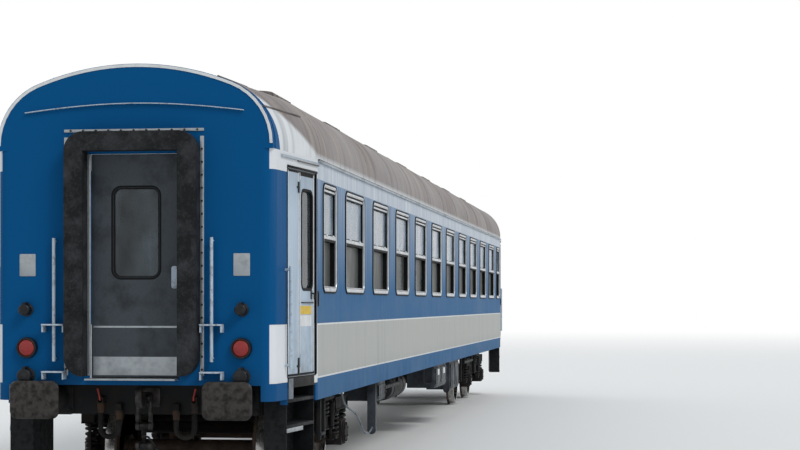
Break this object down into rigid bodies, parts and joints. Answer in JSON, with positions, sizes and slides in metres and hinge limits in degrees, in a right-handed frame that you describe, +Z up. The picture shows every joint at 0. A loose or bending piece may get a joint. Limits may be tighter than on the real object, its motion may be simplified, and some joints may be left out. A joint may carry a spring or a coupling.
{
  "type": "passenger coach",
  "caption": "Main-line passenger coach with tapered ends, folding entrance doors, rubber gangways, side buffers and two two-axle bogies.",
  "frame": {"origin": "middle of the coach at the height of the wheel flange tips, 28 mm below the top of the rail", "axes": "+X along the coach to its far end, +Z up, -Y to the side that the picture shows"},
  "size_m": [24.5, 2.861, 4.0878],
  "materials": {
    "shell_paint": "blue over cream livery paint, slightly weathered gloss",
    "roof_paint": "weathered grey-brown matt paint",
    "door_paint": "light grey-blue satin paint",
    "frame_black": "dirty black satin paint",
    "bogie_black": "black paint under brake dust",
    "equipment_grey": "dusty grey paint",
    "window_aluminium": "satin anodised",
    "window_glass": "tinted clear glass",
    "bellows_rubber": "matt black rubber",
    "hose_rubber": "matt black rubber",
    "wheel_steel": "worn bright treads, rusty webs",
    "bare_steel": "greased worn steel",
    "rail_steel": "black painted tube",
    "lamp_red": "red lens in a black rim",
    "step_steel": "dark painted steel, worn tread plates",
    "trim_aluminium": "dull strip",
    "interior_laminate": "pale laminate",
    "seat_fabric": "blue woven upholstery",
    "rack_metal": "satin",
    "floor_cover": "dark sheet flooring",
    "spring_steel": "black paint under dust",
    "brake_iron": "rusty cast iron"
  },
  "bodies": {
    "carbody": {"air_reservoirs": "frame_black", "brake_hoses": "hose_rubber", "buffer_casings": "frame_black", "buffer_heads": "bare_steel", "draw_gear": "bare_steel", "entrance_steps": "step_steel", "equipment_boxes": "equipment_grey", "floor": "floor_cover", "gangway_bellows": "bellows_rubber", "handrails": "rail_steel", "luggage_racks": "rack_metal", "partitions": "interior_laminate", "rain_gutters": "trim_aluminium", "roof": "roof_paint", "roof_ventilators": "roof_paint", "seats": "seat_fabric", "side_wall_left": "shell_paint", "side_wall_right": "shell_paint", "tail_lamps": "lamp_red", "underfloor_brackets": "equipment_grey", "underfloor_pipes": "frame_black", "underframe": "frame_black", "vestibule_far": "shell_paint", "vestibule_near": "shell_paint", "window_frames": "window_aluminium", "window_glass": "window_glass"},
    "bogie_near": {"axle_boxes_near": "bogie_black", "bogie_bolster_near": "bogie_black", "bogie_frame_near": "bogie_black", "brake_gear_near": "brake_iron", "springs_near": "spring_steel"},
    "wheelset_near_1": {"wheelset_near_1": "wheel_steel"},
    "wheelset_near_2": {"wheelset_near_2": "wheel_steel"},
    "bogie_far": {"axle_boxes_far": "bogie_black", "bogie_bolster_far": "bogie_black", "bogie_frame_far": "bogie_black", "brake_gear_far": "brake_iron", "springs_far": "spring_steel"},
    "wheelset_far_1": {"wheelset_far_1": "wheel_steel"},
    "wheelset_far_2": {"wheelset_far_2": "wheel_steel"},
    "narrow_leaf_near_right": {"door_narrow_leaf_near_right": "door_paint"},
    "wide_leaf_near_right": {"door_wide_leaf_near_right": "door_paint", "door_glass_near_right": "window_glass"},
    "narrow_leaf_near_left": {"door_narrow_leaf_near_left": "door_paint"},
    "wide_leaf_near_left": {"door_wide_leaf_near_left": "door_paint", "door_glass_near_left": "window_glass"},
    "narrow_leaf_far_right": {"door_narrow_leaf_far_right": "door_paint"},
    "wide_leaf_far_right": {"door_wide_leaf_far_right": "door_paint", "door_glass_far_right": "window_glass"},
    "narrow_leaf_far_left": {"door_narrow_leaf_far_left": "door_paint"},
    "wide_leaf_far_left": {"door_wide_leaf_far_left": "door_paint", "door_glass_far_left": "window_glass"},
    "gangway_door_near": {"gangway_door_near": "door_paint", "gangway_door_glass_near": "window_glass"},
    "gangway_door_far": {"gangway_door_far": "door_paint", "gangway_door_glass_far": "window_glass"}
  },
  "joints": [
    {"name": "bogie_near_turn", "type": "hinge", "parent": "carbody", "child": "bogie_near", "pos_m": [-8.6, 0, 0.9], "axis": [0, 0, 1], "range_deg": [-4, 4]},
    {"name": "wheelset_near_1_roll", "type": "hinge", "parent": "bogie_near", "child": "wheelset_near_1", "pos_m": [-9.85, 0, 0.488], "axis": [0, 1, 0], "continuous": true},
    {"name": "wheelset_near_2_roll", "type": "hinge", "parent": "bogie_near", "child": "wheelset_near_2", "pos_m": [-7.35, 0, 0.488], "axis": [0, 1, 0], "continuous": true},
    {"name": "bogie_far_turn", "type": "hinge", "parent": "carbody", "child": "bogie_far", "pos_m": [8.6, 0, 0.9], "axis": [0, 0, 1], "range_deg": [-4, 4]},
    {"name": "wheelset_far_1_roll", "type": "hinge", "parent": "bogie_far", "child": "wheelset_far_1", "pos_m": [7.35, 0, 0.488], "axis": [0, 1, 0], "continuous": true},
    {"name": "wheelset_far_2_roll", "type": "hinge", "parent": "bogie_far", "child": "wheelset_far_2", "pos_m": [9.85, 0, 0.488], "axis": [0, 1, 0], "continuous": true},
    {"name": "door_near_right_swing", "type": "hinge", "parent": "carbody", "child": "narrow_leaf_near_right", "pos_m": [-11.67137, -1.25729, 2.2], "axis": [0, 0, 1], "range_deg": [0, 85]},
    {"name": "door_near_right_fold", "type": "hinge", "parent": "narrow_leaf_near_right", "child": "wide_leaf_near_right", "pos_m": [-11.28696, -1.34782, 2.2], "axis": [0, 0, 1], "range_deg": [-170, 0]},
    {"name": "door_near_left_swing", "type": "hinge", "parent": "carbody", "child": "narrow_leaf_near_left", "pos_m": [-11.67137, 1.25729, 2.2], "axis": [0, 0, -1], "range_deg": [0, 85]},
    {"name": "door_near_left_fold", "type": "hinge", "parent": "narrow_leaf_near_left", "child": "wide_leaf_near_left", "pos_m": [-11.28696, 1.34782, 2.2], "axis": [0, 0, -1], "range_deg": [-170, 0]},
    {"name": "door_far_right_swing", "type": "hinge", "parent": "carbody", "child": "narrow_leaf_far_right", "pos_m": [11.67137, -1.25729, 2.2], "axis": [0, 0, -1], "range_deg": [0, 85]},
    {"name": "door_far_right_fold", "type": "hinge", "parent": "narrow_leaf_far_right", "child": "wide_leaf_far_right", "pos_m": [11.28696, -1.34782, 2.2], "axis": [0, 0, -1], "range_deg": [-170, 0]},
    {"name": "door_far_left_swing", "type": "hinge", "parent": "carbody", "child": "narrow_leaf_far_left", "pos_m": [11.67137, 1.25729, 2.2], "axis": [0, 0, 1], "range_deg": [0, 85]},
    {"name": "door_far_left_fold", "type": "hinge", "parent": "narrow_leaf_far_left", "child": "wide_leaf_far_left", "pos_m": [11.28696, 1.34782, 2.2], "axis": [0, 0, 1], "range_deg": [-170, 0]},
    {"name": "gangway_door_near_slide", "type": "slide", "parent": "carbody", "child": "gangway_door_near", "axis": [0, 1, 0], "range_m": [0, 0.72]},
    {"name": "gangway_door_far_slide", "type": "slide", "parent": "carbody", "child": "gangway_door_far", "axis": [0, 1, 0], "range_m": [0, 0.72]}
  ],
  "couplings": [
    {"joint": "door_near_right_fold", "follows": "door_near_right_swing", "ratio": -2},
    {"joint": "door_near_left_fold", "follows": "door_near_left_swing", "ratio": -2},
    {"joint": "door_far_right_fold", "follows": "door_far_right_swing", "ratio": -2},
    {"joint": "door_far_left_fold", "follows": "door_far_left_swing", "ratio": -2}
  ]
}
